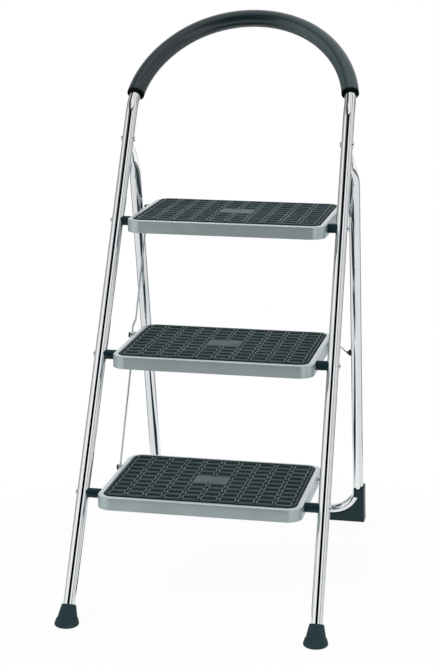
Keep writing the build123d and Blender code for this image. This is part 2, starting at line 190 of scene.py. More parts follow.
def new_finish(name, **constants):
    """A material with its fixed values set on the shader, its node tree, and its Object coordinates."""
    material = bpy.data.materials.new(name)
    material.use_nodes = True
    tree = material.node_tree
    for key, value in constants.items():
        tree.nodes["Principled BSDF"].inputs[key.replace("_", " ")].default_value = value
    return material, tree, Wire.make(tree, "TexCoord", out="Object")


def coordinate(tree, place, axis):
    """One coordinate of a place."""
    return Wire.make(tree, "SeparateXYZ", None, {0: place}, out=axis)


def mesh_mark(tree):
    """The value that the points of a mesh carry under the name mark."""
    return Wire.make(tree, "Attribute", {"attribute_name": "mark"}, out="Fac")


def ray_kinds(tree):
    """Two switches: 1 for a ray straight from the camera, and 1 for a ray off something glossy."""
    kinds = ("Is Camera Ray", "Is Glossy Ray", "Is Transmission Ray")
    seen, mirrored, through = (Wire.make(tree, "LightPath", out=kind) for kind in kinds)
    return seen + through, mirrored


def noise(tree, place, scale, detail):
    """Fractal noise from 0 to 1, its scale in waves per metre."""
    sockets = {"Vector": place, "Scale": scale, "Detail": detail, "Roughness": 0.55}
    return Wire.make(tree, "TexNoise", None, sockets)


def blend_colours(tree, share, first, second):
    """Mixes two colours by a share."""
    pair = [(*c, 1) if isinstance(c, tuple) else c for c in (first, second)]
    return Wire.make(tree, "Mix", {"data_type": "RGBA"}, {0: share, 6: pair[0], 7: pair[1]}, out=2)


def span(tree, value, low, high, to_low=0.0, to_high=1.0):
    """Stretches a part of a value's range over another range, and stops at its ends."""
    limits = {"Value": value, "From Min": low, "From Max": high, "To Min": to_low, "To Max": to_high}
    return Wire.make(tree, "MapRange", {"interpolation_type": "SMOOTHSTEP"}, limits)


def band(tree, value, rise, fall):
    """0 below the rise, 1 between the rise and the fall, and 0 above the fall."""
    return span(tree, value, *rise) * span(tree, value, *fall, 1.0, 0.0)


def bump(tree, height, strength, depth):
    """A normal from a height, its depth in metres."""
    return Wire.make(tree, "Bump", None, {"Height": height, "Strength": strength, "Distance": depth})


def connect(tree, **wires):
    """Links wires to the sockets of the Principled shader."""
    for key, wire in wires.items():
        tree.links.new(wire.socket, tree.nodes["Principled BSDF"].inputs[key.replace("_", " ")])


print("mid grey on screen is", round(float(linear(128, 128, 128)[0]), 3), "in light")

# %% [markdown]
# The camera stands where the photographer's stood: a little to the right, a little above the bow, and
# three metres back with a long lens, so the legs hardly converge. Its angles come from matching the
# corners of the treads and the ends of the legs.

# %% Camera
azimuth, elevation, roll = (math.radians(angle) for angle in (11.41, 13.48, 0.19))
back = Vector((
    math.sin(azimuth) * math.cos(elevation),
    -math.cos(azimuth) * math.cos(elevation),
    math.sin(elevation),
))
level_view = (-back).to_track_quat("-Z", "Y")
camera = bpy.data.objects.new("camera", bpy.data.cameras.new("camera"))
camera.data.lens = 97.2
camera.data.sensor_width = 36
camera.data.shift_y = 0.0107
camera.rotation_mode = "QUATERNION"
camera.location = (0.6355, -3.2184, 1.2415)
camera.rotation_quaternion = level_view @ Matrix.Rotation(roll, 3, "Z").to_quaternion()
bpy.context.scene.collection.objects.link(camera)
bpy.context.scene.camera = camera
bpy.context.scene.view_settings.view_transform = "Standard"
print("camera", [round(value, 3) for value in camera.location], "lens", camera.data.lens)

# %% [markdown]
# Chrome has no colour of its own: it shows the room. The room here is a white tent. It has a dark doorway
# towards the camera that widens to an arch, a dark drape on the left, and grey seams, of which those
# behind fade with height. Only glossy rays see all this. The tent could be built from cards, but in the
# world shader it sits infinitely far away, so its seams run dead straight down a tube.

# %% White tent
world = bpy.data.worlds.new("white_tent")
world.use_nodes = True
bpy.context.scene.world = world
sky = world.node_tree
direction = Wire.make(sky, "TexCoord", out="Generated")
east, north, height = (coordinate(sky, direction, axis) for axis in "XYZ")
bearing = east.math("ARCTAN2", north * -1)


def seam(middle, half_width, soft, shade):
    """Light past a dark strip of the tent: a shade within its half width in degrees, and 1 away from it."""
    away = (bearing - math.radians(middle)).math("WRAP", math.pi)
    away.socket.node.inputs[2].default_value = -math.pi
    inside, outside = math.radians(half_width - soft), math.radians(half_width + soft)
    return span(sky, away.math("ABSOLUTE", 0), inside, outside, shade, 1.0)


room_light, ground_light = 0.62, 0.87
rear_seams = seam(138, 14, 5, 0.2) * seam(-132, 18, 5, 0.2) * seam(178, 4, 1.5, 0.1)
rear_seams = rear_seams + (1 - rear_seams) * span(sky, height, 0.35, 0.5, 0.0, 0.6)
side_seams = seam(62, 6, 2, 0.22) * seam(84, 4, 2, 0.5) * seam(106, 6, 3, 0.4) * seam(-98, 13, 8, 0.5)
arch = (1 - seam(6, 44, 8, 0.0)) * span(sky, height, 0.66, 0.76)
doorway = (1 - seam(-1, 26, 2, 0.0)).math("MAXIMUM", arch)
doorway = doorway * band(sky, height, (-0.42, -0.32), (0.76, 0.84))
drape = (1 - seam(-70, 50, 12, 0.1)) * band(sky, height, (0.56, 0.66), (0.86, 0.94))
upper = (1 - doorway) * (1 - drape) * side_seams
tent = rear_seams * (upper + (ground_light - upper) * span(sky, height, -0.36, -0.26, 1.0, 0.0))
straight, mirrored = ray_kinds(sky)
strength = straight + mirrored * tent + (1 - straight - mirrored) * room_light
sky.links.new(strength.socket, sky.nodes["Background"].inputs["Strength"])
sky.nodes["Background"].inputs["Color"].default_value = (1, 1, 1, 1)
print("tent nodes", len(sky.nodes))

# %% [markdown]
# Three soft boxes light the matt pieces: a strong one from the left, a weaker one from the right, and one
# from behind that parts the stool from the white. Lamps usually show in chrome as bright squares, so
# these are hidden from glossy rays.

# %% Soft boxes
def lamp(name, place, watts, size):
    """A square soft box that stands at a place and looks at the middle of the stool."""
    light = bpy.data.objects.new(name, bpy.data.lights.new(name, "AREA"))
    light.data.energy = watts
    light.data.size = size
    light.visible_glossy = False
    light.location = place
    light.rotation_mode = "QUATERNION"
    light.rotation_quaternion = (Vector((0, 0, 0.5)) - Vector(place)).to_track_quat("-Z", "Y")
    bpy.context.scene.collection.objects.link(light)


lamp("key_soft_box", (-1.9, -2.6, 3.0), 62, 1.8)
lamp("fill_soft_box", (2.6, -1.6, 1.9), 26, 2.0)
lamp("rear_soft_box", (0.6, 2.8, 2.4), 24, 2.0)

# %% [markdown]
# The floor is a pale disc. To the camera it is almost the white of the tent, and a small share of its own
# shading stays near the middle, so that the feet keep a soft shadow. The chrome sees a pale floor with a
# dark strip under the stool, a painted reflection of the shade there, which draws the dark line down the
# rear legs.

# %% Floor
floor_radius, floor_corners = 0.75, 96
floor_mesh = bpy.data.meshes.new("floor")
floor_edge = np.insert(floor_radius * circle(floor_corners), 2, 0, 1)
floor_mesh.from_pydata(floor_edge.tolist(), [], [list(range(floor_corners))])
floor = bpy.data.objects.new("floor", floor_mesh)
bpy.context.scene.collection.objects.link(floor)
floor_paint, tree, place = new_finish(
    "pale_floor", Base_Color=(0.9, 0.9, 0.9, 1), Roughness=0.9, Specular_IOR_Level=0.0,
)
straight, mirrored = ray_kinds(tree)
from_middle = Wire.make(tree, "VectorMath", {"operation": "LENGTH"}, {0: place}, out="Value")
whitened = straight * span(tree, from_middle, 0.45, 0.72, 0.93, 1.0)
shaded = Wire(tree.nodes["Principled BSDF"].outputs[0])
white = Wire.make(tree, "Emission", None, {"Color": (1, 1, 1, 1), "Strength": 1.0})
seen_floor = Wire.make(tree, "MixShader", None, {0: whitened, 1: shaded, 2: white})

shade_strip_x, shade_strip_half, pale_x, pale_half = -0.025, (0.11, 0.135), 0.09, (0.17, 0.22)
floor_x, floor_y = (coordinate(tree, place, axis) for axis in "XY")
# painted shade: a dark strip, seen only by mirrors, for the shade on the floor under the stool
shade_strip = span(tree, (floor_x - shade_strip_x).math("ABSOLUTE", 0), *shade_strip_half, 1.0, 0.0)
shade_strip = shade_strip * band(tree, floor_y, (-0.20, -0.16), (0.25, 0.31))
beyond = span(tree, (floor_x - pale_x).math("ABSOLUTE", 0), *pale_half)
reflected = blend_colours(tree, beyond, linear(255, 255, 255), linear(238, 240, 242))
reflected = blend_colours(tree, shade_strip, reflected, linear(30, 48, 53))
mirror_floor = Wire.make(tree, "Emission", None, {"Color": reflected, "Strength": 1.0})
mixed = Wire.make(tree, "MixShader", None, {0: mirrored, 1: seen_floor, 2: mirror_floor})
tree.links.new(mixed.socket, tree.nodes["Material Output"].inputs["Surface"])
floor_mesh.materials.append(floor_paint)
print("floor", floor.dimensions[:])

# %% [markdown]
# Chrome plate over polished steel tube: a mirror with a faint bluish grey body, a very slight waviness
# from drawing and polishing, and smudges that only dull it here and there.

# %% Finish: chrome
chrome, tree, place = new_finish("chrome_plate", Metallic=1.0)
smudge = span(tree, noise(tree, place, 9, 4), 0.45, 0.75)
connect(
    tree,
    Base_Color=blend_colours(tree, smudge, (0.81, 0.83, 0.845), (0.75, 0.775, 0.79)),
    Roughness=smudge * 0.05 + noise(tree, place, 260, 2) * 0.03 + 0.015,
    Normal=bump(tree, noise(tree, place, 16, 1), 0.035, 0.0015),
)
print("chrome nodes", len(tree.nodes))

# %% [markdown]
# The front frame is one length of 22 mm tube: two legs that lean back and draw in slightly, a bend that
# leans the bow further back, two shoulders and a crown. A tube bender makes each bend as a true arc, so
# the path is worked out as straight lines and arcs, the left half first and its mirror image after it.

# %% Path of the front frame
leg_up = hinges["top_step_fold"] - hinges["bottom_step_fold"]
leg_up /= np.linalg.norm(leg_up)
low_axle = hinges["bottom_step_fold"] * [0, 1, 1]
floor_point = low_axle - leg_up * low_axle[2] / leg_up[2]
tube_radius, tube_wall, floor_half = 11.0, 1.5, 224.0
draw_in, lean_back, shoulder_turn = (math.radians(angle) for angle in (0.97, 20, 45))
back_radius, shoulder_radius, spring_rise, arc_rows = 76.0, 232.0, 57.5, 33
pivot_along = hinges["rear_fold"][2] / leg_up[2]
spring_along = (hinges["rear_fold"][2] + spring_rise) / leg_up[2]
bend_reach = back_radius * math.tan(lean_back / 2)
bend_along = spring_along - bend_reach


def leg_half(along):
    """Half the distance between the leg axes: that at the floor, less the way up times the draw-in."""
    return floor_half - along * math.tan(draw_in)


def tilted(up, angle):
    """A direction leaned back about the X axis: (y cos + z sin, z cos - y sin)."""
    cos, sin = np.cos(angle), np.sin(angle)
    return np.stack([np.zeros_like(cos), up[1] * cos + up[2] * sin, up[2] * cos - up[1] * sin], -1)


def turn(start, headings, radius):
    """Arc that bends to the right: start + radius * (right-hand normal there - the one on the way)."""
    sideways = np.sin(headings[0]) - np.sin(headings)
    upwards = np.cos(headings) - np.cos(headings[0])
    return start + radius * np.stack([sideways, upwards], -1)


leg_heading = math.pi / 2 - draw_in
bow_up = tilted(leg_up, lean_back)
spring_point = floor_point + spring_along * leg_up
bow_start = np.array([-leg_half(spring_along + bend_reach), bend_reach])
shoulder_headings = np.linspace(leg_heading, shoulder_turn, arc_rows)
crown_headings = np.linspace(shoulder_turn, 0, arc_rows)
shoulder_line = turn(bow_start, shoulder_headings, shoulder_radius)
crown_radius = -shoulder_line[-1, 0] / math.sin(shoulder_turn)
crown_line = turn(shoulder_line[-1], crown_headings, crown_radius)


def on_bow(line, headings):
    """Points, tangents and faces of a line drawn in the plane of the bow."""
    points = spring_point + line[:, :1] * across_x + line[:, 1:] * bow_up
    tangents = np.cos(headings)[:, None] * across_x + np.sin(headings)[:, None] * bow_up
    return points, tangents, np.broadcast_to(np.cross(across_x, bow_up), points.shape)


slot_low, slot_high, slot_half = pivot_along - 32.3, pivot_along + 8.6, 3.4
alongs = np.array([
    14, 16, 60, 200, 400, 600, 800,
    slot_low - 1, slot_low, slot_high, slot_high + 1, 950, bend_along,
])
front_leg = floor_point + alongs[:, None] * leg_up - leg_half(alongs)[:, None] * across_x
leg_face = np.cross(across_x, leg_up)
leaning = np.linspace(0, lean_back, 17)[1:]
bend_ups = tilted(leg_up, leaning)
bend_faces = np.cross(across_x, bend_ups)
back_bend = front_leg[-1] + back_radius * (bend_faces - leg_face)
back_bend[:, 0] = -leg_half(bend_along + 2 * bend_reach * leaning / lean_back)
bow_line = np.concatenate([shoulder_line, crown_line[1:]])
bow_headings = np.concatenate([shoulder_headings, crown_headings[1:]])
bow_points, bow_tangents, bow_faces = on_bow(bow_line[1:], bow_headings[1:])
ups = np.concatenate([np.broadcast_to(leg_up, front_leg.shape), bend_ups])
leg_tangents = math.sin(draw_in) * across_x + math.cos(draw_in) * ups
half_points = np.concatenate([front_leg, back_bend, bow_points])
half_tangents = np.concatenate([leg_tangents, bow_tangents])
half_faces = np.concatenate([np.broadcast_to(leg_face, front_leg.shape), bend_faces, bow_faces])
front_points = np.concatenate([half_points, (half_points * [-1, 1, 1])[-2::-1]])
front_tangents = np.concatenate([half_tangents, (half_tangents * [1, -1, -1])[-2::-1]])
front_faces = np.concatenate([half_faces, half_faces[-2::-1]])
print("path of", len(front_points), "points, crown radius", round(crown_radius, 1), "mm")

# %% [markdown]
# The round section goes along that path. A curve object with a round bevel would do, but each leg has a
# slot at its pivot, where the rear frame goes in. The slot needs columns of the grid exactly at its edges,
# so the section is carried by hand and the quads of the slot are left out. A Solidify modifier gives the
# wall that shows in the slot.

# %% Front frame
def carry(points, tangents, faces, profile):
    """Surface of a profile (a, b) carried along a path: path + a * (tangent x face) + b * face."""
    side = np.cross(tangents, faces)
    return points[:, None] + profile[..., :1] * side[:, None] + profile[..., 1:] * faces[:, None]


slot_angle = math.asin(slot_half / tube_radius)
plain_columns = 72
round_angles = np.concatenate([
    np.linspace(-math.pi / 2 + slot_angle, 1.5 * math.pi - slot_angle, plain_columns + 1),
    np.linspace(1.5 * math.pi - slot_angle, 1.5 * math.pi + slot_angle, 5)[1:-1],
])
tube_section = tube_radius * np.stack([np.cos(round_angles), np.sin(round_angles)], -1)
front_grid = carry(front_points, front_tangents, front_faces, tube_section)
front_quads = quads(*front_grid.shape[:2])
slot_row = int(np.argmax(alongs == slot_low))
slot_rows = np.isin(np.arange(len(front_quads)), [slot_row, len(front_quads) - 1 - slot_row])
in_slot = slot_rows[:, None] & (np.arange(len(round_angles)) >= plain_columns)[None, :]
front_shape = (front_quads[~in_slot], front_grid.reshape(-1, 3))
front_tube = put("front_tube", front_shape, "front", ["front_frame"], chrome)
wall = front_tube.modifiers.new("wall", "SOLIDIFY")
wall.thickness = tube_wall * 0.001
wall.offset = -1
print("bow top at", round(front_grid[..., 2].max(), 1), "mm, slot", round(slot_high - slot_low, 1), "mm long")

# %% [markdown]
# The rear frame is a U of the same tube. Each end is pressed flat, bent forward and riveted into the
# slot of a front leg. Its section is a superellipse, |a|^p + |b|^p = 1: p = 2 is the round tube, and a
# larger p gives the flat tab with rounded edges, so one formula makes the whole length.

# %% Rear frame
rear_lean = math.radians(14.2)
rear_down = np.array([0, math.sin(rear_lean), -math.cos(rear_lean)])
rear_face = np.array([0, -math.cos(rear_lean), -math.sin(rear_lean)])
set_back, side_step, knee_drop, knee_run, tab_end = 52.5, 5.5, 74.0, 30.0, 8.0
bar_height, bend_radius = 22.0, 57.0
pivot = np.array([leg_half(pivot_along), *hinges["rear_fold"][1:]])
rear_half = pivot[0] + side_step
rear_top = np.array([rear_half, *(pivot + set_back * -rear_face)[1:]])
bar_drop = (rear_top[2] - bar_height) / math.cos(rear_lean)
knee = rear_top + knee_drop * rear_down
knee_end = knee + knee_run * rear_down
tab_line = (knee - pivot) * [0, 1, 1]
tab_length = np.linalg.norm(tab_line)
tab_line /= tab_length

travel = np.concatenate([-tab_end * np.cos(np.linspace(0, math.pi / 2, 9)), np.arange(6, 61, 6)])
side_steps = side_step * ease(travel, 30, tab_length)
tab_points = pivot + travel[:, None] * tab_line + side_steps[:, None] * across_x
share = np.linspace(0, 1, 13)[1:, None]
knee_points = (1 - share) ** 2 * tab_points[-1] + 2 * share * (1 - share) * knee + share**2 * knee_end
knee_points[:, 0] = tab_points[-1, 0] + (rear_half - tab_points[-1, 0]) * ease(share[:, 0], 0, 1)
rear_leg = rear_top + np.linspace(knee_drop + knee_run, bar_drop - bend_radius, 9)[1:, None] * rear_down
swing = np.linspace(0, math.pi / 2, 21)[1:, None]
bend_centre = rear_leg[-1] - bend_radius * across_x
corner_points = bend_centre + bend_radius * (np.cos(swing) * across_x + np.sin(swing) * rear_down)
bar_points = corner_points[-1] * np.linspace([1, 1, 1], [0, 1, 1], 6)[1:]
rear_points = np.concatenate([tab_points, knee_points, rear_leg, corner_points, bar_points])
rear_tangents = np.concatenate([
    np.broadcast_to(tab_line, tab_points.shape),
    (1 - share) * tab_line + share * rear_down,
    np.broadcast_to(rear_down, rear_leg.shape),
    np.cos(swing) * rear_down - np.sin(swing) * across_x,
    np.broadcast_to(-across_x, bar_points.shape),
])
rear_tangents = rear_tangents / np.linalg.norm(rear_tangents, axis=1)[:, None]
upright_rows = len(tab_points) + len(knee_points) + len(rear_leg)
rear_side = np.concatenate([
    np.broadcast_to(-across_x, (upright_rows, 3)),
    np.cross(rear_tangents[upright_rows:], rear_face),
])
rear_normal = np.cross(rear_side, rear_tangents)

way = np.concatenate([[0], np.cumsum(np.linalg.norm(np.diff(rear_points, axis=0), axis=1))]) - tab_end
opening, rounding = ease(way, 36, 60), ease(way, 60, 116)
tip = np.sqrt(np.maximum(tab_end**2 - way**2, 0))
thick = 3 + 2 * opening + 6 * rounding
wide = np.where(way < 0, tip, tab_end + 6 * opening - 3 * rounding)
power = 6 - 2.5 * opening - 1.5 * ease(way, 60, 108)
ring = circle(64)
rounded = np.sign(ring) * np.abs(ring) ** (2 / power[:, None, None])
rear_grid = rear_points[:, None] + (thick[:, None] * rounded[..., 0])[..., None] * rear_side[:, None]
rear_grid = rear_grid + (wide[:, None] * rounded[..., 1])[..., None] * rear_normal[:, None]
rear_grid = np.concatenate([rear_grid, (rear_grid * [-1, 1, 1])[-2::-1]])
put("rear_tube", join(rear_grid), "rear", ["rear_frame"], chrome)
print("rear bar", round(2 * rear_half, 1), "mm between leg axes, tab", round(tab_length, 1), "mm long")

# %% [markdown]
# The grip is dense foam with a finely pored skin. Its soft gloss is a coat, which is left off at the
# cut ends; there the colour is painted near black, a painted shade of the ends that face down. The right
# side is painted paler, a painted sheen where the light falls on it.

# %% Finish: foam
foam, tree, place = new_finish("grip_foam", Specular_IOR_Level=0.1, Coat_IOR=1.58, Coat_Roughness=0.3)
pores = noise(tree, place, 900, 2)
clouds = noise(tree, place, 30, 3)
cut_and_shade = mesh_mark(tree)
# painted sheen: the right side of the grip is painted paler
painted_sheen = span(tree, coordinate(tree, place, "X"), 0.02, 0.12)
skin = blend_colours(tree, span(tree, clouds, 0.3, 0.7), linear(0, 26, 32), linear(2, 31, 37))
pored = blend_colours(tree, span(tree, pores, 0.52, 0.70), skin, linear(0, 20, 24))
pored = blend_colours(tree, painted_sheen, pored, linear(38, 58, 62))
connect(
    tree,
    # the cut ends are painted near black: a painted shade
    Base_Color=blend_colours(tree, cut_and_shade, pored, linear(3, 8, 9)),
    Roughness=pores * 0.1 + cut_and_shade * 0.4 + 0.4,
    Coat_Weight=1 - cut_and_shade,
    Normal=bump(tree, pores, 0.12, 0.0005),
)
print("foam nodes", len(tree.nodes))

# %% [markdown]
# The grip is a sleeve slid over the bow, and it has slipped a little, so it ends lower on the left. It
# could be the tube's own surface pushed outwards, but its ends fall elsewhere. So it is a round section
# whose radius changes with the way along the bow: in at the cut ends, out round a small lip.

# %% Grip
def grip_side(past_spring):
    """Line and headings from an angle past the bow's spring to its top: shoulder arc, then crown arc."""
    headings = np.linspace(leg_heading - math.radians(past_spring), shoulder_turn, arc_rows)
    start = turn(bow_start, np.array([leg_heading, headings[0]]), shoulder_radius)[-1]
    line = np.concatenate([turn(start, headings, shoulder_radius), crown_line[1:]])
    return line, np.concatenate([headings, crown_headings[1:]])


left_line, left_headings = grip_side(3.9)
right_line, right_headings = grip_side(7.1)
grip_line = np.concatenate([left_line, (right_line * [-1, 1])[-2::-1]])
grip_headings = np.concatenate([left_headings, -right_headings[-2::-1]])
reach = np.concatenate([[0], np.cumsum(np.linalg.norm(np.diff(grip_line, axis=0), axis=1))])
sleeve_radius, bore_radius, bore_depth, lip, grip_columns = 16.6, 11.05, 12, 1.6, 72
lip_turn = np.linspace(0, math.pi / 2, 6)
end_ways = np.concatenate([[bore_depth, 0], lip * (1 - np.cos(lip_turn))])
end_radii = np.concatenate([[bore_radius, bore_radius], sleeve_radius - lip + lip * np.sin(lip_turn)])
long_ways = np.linspace(lip, reach[-1] - lip, 120)[1:-1]
ways = np.concatenate([end_ways, long_ways, reach[-1] - end_ways[::-1]])
radii = np.concatenate([end_radii, np.full(len(long_ways), sleeve_radius), end_radii[::-1]])
sleeve_line = np.stack([np.interp(ways, reach, grip_line[:, axis]) for axis in (0, 1)], -1)
sleeve_path = on_bow(sleeve_line, np.interp(ways, reach, grip_headings))
grip_grid = carry(*sleeve_path, radii[:, None, None] * circle(grip_columns))
from_end = np.minimum(ways, reach[-1] - ways)
# the cut ends carry a mark of 1: the coat is left off there, and their colour is a painted shade
cut_end_and_shade = np.where(radii < sleeve_radius - 0.2 * lip, 1, np.clip(3 - from_end / 2, 0, 1))
cut_and_shade_marks = np.repeat(cut_end_and_shade, grip_columns)
put("foam_grip", join(grip_grid), "front", ["handle_grip"], foam, cut_and_shade_marks)
print("grip", round(reach[-1]), "mm along the bow")

# %% [markdown]
# The feet are of plain dark rubber with a fine grain, and a little floor dust clings to their lowest
# part. Dust could be painted on, but noise that fades with height places it by itself.

# %% Finish: foot rubber
foot_rubber, tree, place = new_finish("foot_rubber", Specular_IOR_Level=0.3)
grain = noise(tree, place, 700, 3)
dust = span(tree, noise(tree, place, 60, 4), 0.5, 0.75)
low = span(tree, coordinate(tree, place, "Z"), 0.0, 0.016, 1.0, 0.0)
connect(
    tree,
    Base_Color=blend_colours(tree, dust * low * 0.6, linear(26, 50, 54), linear(70, 88, 90)),
    Roughness=grain * 0.15 + 0.55,
    Normal=bump(tree, grain, 0.25, 0.0004),
)
print("foot rubber nodes", len(tree.nodes))

# %% [markdown]
# The feet are moulded ferrules pushed over the leg ends: a flat sole, a lower cone, a small step where the
# mould parts meet, and an upper cone that ends in a soft lip on the tube. Every section is a circle. It
# lies level at the floor and turns square to the leg on its way up, which a plain turned cone could not.

# %% Front feet
sole_radius, sole_height, sole_edge = 22.0, 4.0, 3.0
foot_length, foot_top, step_share, step_half = 37.0, 13.0, 0.36, 0.65
step_at = step_share * foot_length
step_radius = sole_radius + step_share * (foot_top - sole_radius)
sole_turn = np.linspace(0, math.pi / 2, 6)
sole_ways = np.concatenate([[0], sole_edge * (1 - np.cos(sole_turn)), [sole_height]]) / leg_up[2]
sole_radii = np.concatenate([[0], sole_radius - sole_edge + sole_edge * np.sin(sole_turn), [sole_radius]])
skirt_ways = np.linspace(6, step_at - 0.3, 5)
skirt_radii = np.interp(skirt_ways, [sole_ways[-1], step_at], [sole_radius, step_radius + step_half])
step_ways, step_radii = step_at + np.array([0, 0.1]), step_radius + np.array([0.3, -0.3])
waist_ways = np.linspace(step_at + 0.4, foot_length - 0.8, 9)
waist_radii = np.interp(waist_ways, [step_at, foot_length], [step_radius - step_half, foot_top])
lip_ways = foot_length - np.array([0.3, 0, 0, 8])
lip_radii = np.array([12.8, 12.4, bore_radius, bore_radius])
foot_ways = np.concatenate([sole_ways, skirt_ways, step_ways, waist_ways, lip_ways])
foot_radii = np.concatenate([sole_radii, skirt_radii, step_radii, waist_radii, lip_radii])

level_rows = len(sole_ways)
is_level = np.arange(len(foot_ways)) < level_rows
tilt = math.acos(leg_up[2]) * np.where(is_level, 0, foot_ways / foot_length)
centre_ways = np.maximum(foot_ways, sole_height / leg_up[2])
foot_points = floor_point + centre_ways[:, None] * leg_up + leg_half(centre_ways)[:, None] * across_x
foot_points[:level_rows, 2] = sole_ways * leg_up[2]
depth_axis = np.stack([np.zeros_like(tilt), np.cos(tilt), -np.sin(tilt)], -1)
foot_rings = ring[:, :1] * across_x + ring[:, 1:] * depth_axis[:, None]
foot_grid = foot_points[:, None] + foot_radii[:, None, None] * foot_rings
for side, flip in sides:
    nodes = [f"front_foot_{side}"]
    put(f"foot_{side}", join(foot_grid * flip), "front", nodes, foot_rubber)
print("foot from", foot_grid[..., 2].min().round(2), "to", foot_grid[..., 2].max().round(1), "mm up")

# %% [markdown]
# The small black mouldings are of one plastic, with a fine spark-eroded grain and a few duller marks from
# handling. The grain is noise, in the roughness as well as in the normal.

# %% Finish: black plastic
plastic, tree, place = new_finish(
    "black_plastic", Specular_IOR_Level=0.32, Specular_Tint=(0.8, 0.97, 1.0, 1),
)
grain = noise(tree, place, 1100, 2)
marks = span(tree, noise(tree, place, 45, 4), 0.55, 0.8)
connect(
    tree,
    Base_Color=blend_colours(tree, marks, linear(4, 33, 38), linear(12, 42, 47)),
    Roughness=grain * 0.18 + marks * 0.1 + 0.34,
    Normal=bump(tree, grain, 0.22, 0.0003),
)
print("plastic nodes", len(tree.nodes))

# %% [markdown]
# The corner shoes are moulded clips round the lower bends of the rear tube. Seen square on, each is an L
# whose outer edge has a sharp corner and whose inner edge follows the bend, and it leaves the inner side
# of the tube bare. A section is carried from one end of the L to the other: a plain rectangle between the
# inner and the outer edge, as deep as the shoe. A Bevel modifier rounds its edges, as a mould would.

# %% Corner shoes
shoe_half_depth, leg_overlap, bar_overlap, saddle_depth = 13.5, 3.0, 22.5, 3.0
collar, collar_lip, collar_in = 20.0, 6.0, 7.5
collar_half, window = tube_radius + 2.5, tube_radius - 6.5
window_rows, over_columns = 25, 11
bar_centre = (rear_top + bar_drop * rear_down) * [0, 1, 1]
shoe_floor = -bar_height / math.cos(rear_lean)
shoe_out = rear_half + collar_half
bend_x = rear_half - bend_radius
shoe_in = bend_x - bar_overlap
shoe_top = bend_radius + leg_overlap
window_radius = bend_radius + window
first = math.asin((shoe_top - collar - bend_radius) / window_radius)
last = -math.acos((shoe_in + collar - bend_x) / window_radius)
window_arc = np.linspace(first, last, window_rows)
arc_share = np.linspace(0, 2, window_rows)
inner_arc = np.stack([
    bend_x + window_radius * np.cos(window_arc),
    bend_radius + window_radius * np.sin(window_arc),
], -1)
outer_corner = np.stack([
    shoe_out + (shoe_in + collar - shoe_out) * np.clip(arc_share - 1, 0, 1),
    shoe_top - collar + (shoe_floor - shoe_top + collar) * np.clip(arc_share, 0, 1),
], -1)
upright = np.array([shoe_top, shoe_top - collar_lip, shoe_top - collar])
level = np.array([shoe_in + collar, shoe_in + collar_lip, shoe_in])
inner = np.concatenate([
    np.stack([np.full(3, rear_half - collar_in), upright], -1),
    inner_arc,
    np.stack([level, np.full(3, collar_in)], -1),
])
outer = np.concatenate([
    np.stack([np.full(3, shoe_out), upright], -1),
    outer_corner,
    np.stack([level, np.full(3, shoe_floor)], -1),
])

over = np.linspace(0, 1, over_columns)
over = np.concatenate([over, over[::-1]])
depth = np.repeat([shoe_half_depth, -shoe_half_depth], over_columns)
flat = inner[:, None] + over[None, :, None] * (outer - inner)[:, None]
saddle = saddle_depth * (1 - (2 * over - 1) ** 2)
flat[0, :, 1] -= saddle
flat[-1, :, 0] += saddle
level_share = np.concatenate([np.zeros(3), np.clip(arc_share, 0, 1), np.ones(3)])
flat[..., 1] += level_share[:, None] * over * depth * math.tan(rear_lean)
shoe_grid = bar_centre + flat[..., :1] * across_x - flat[..., 1:] * rear_down + depth[:, None] * rear_face
ends = np.broadcast_to(shoe_grid[[0, -1]].mean(1, keepdims=True), (2, len(over), 3))
shoe_grid = np.concatenate([ends[:1], shoe_grid, ends[1:]])
for side, flip in sides:
    nodes = [f"corner_shoe_{side}"]
    shoe = put(f"shoe_{side}", join(shoe_grid * flip), "rear", nodes, plastic)
    soft_edges = shoe.modifiers.new("soft_edges", "BEVEL")
    soft_edges.width, soft_edges.segments, soft_edges.angle_limit = 0.0009, 3, math.radians(40)
    soft_edges.harden_normals = True
print("shoe reaches", round(shoe_grid[..., 2].min(), 2), "to", round(shoe_grid[..., 2].max(), 1), "mm up")

# %% [markdown]
# A plastic bush on the axle keeps each tread clear of the leg. It is a plain turned shape: a profile
# of radius against distance, spun about the axle. Its outer end runs into the leg.

# %% Bushes
tread_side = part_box("tread_top")[1].x * 1000
axles = {step: hinges[f"{step}_step_fold"] * [0, 1, 1] for step in steps}
leg_x = {step: leg_half(axle[2] / leg_up[2]) for step, axle in axles.items()}
into_leg = 7
bush_inner = tread_side + np.array([0.4, 0.4, 0.55, 1.1])
bush_radii = np.array([4.2, 7.9, 8.4, 8.75, 8.75, 4.2])
for step in steps:
    bush_outer = np.full(2, leg_x[step] - into_leg)
    bush = turned(axles[step], np.concatenate([bush_inner, bush_outer]), bush_radii, 48)
    for side, flip in sides:
        nodes = [f"bush_{step}_{side}"]
        put(f"{step}_bush_{side}", join(bush * flip), "front", nodes, plastic)
print("bushes from", round(tread_side, 1), "mm out")

# %% [markdown]
# The treads are powder coated satin silver: a grey film with metal flakes in it, a little mottled, and
# painted lighter along the rounded rim, a painted highlight of the light on the rolled edge. The pan
# carries a mark at those rows, which the colour follows.

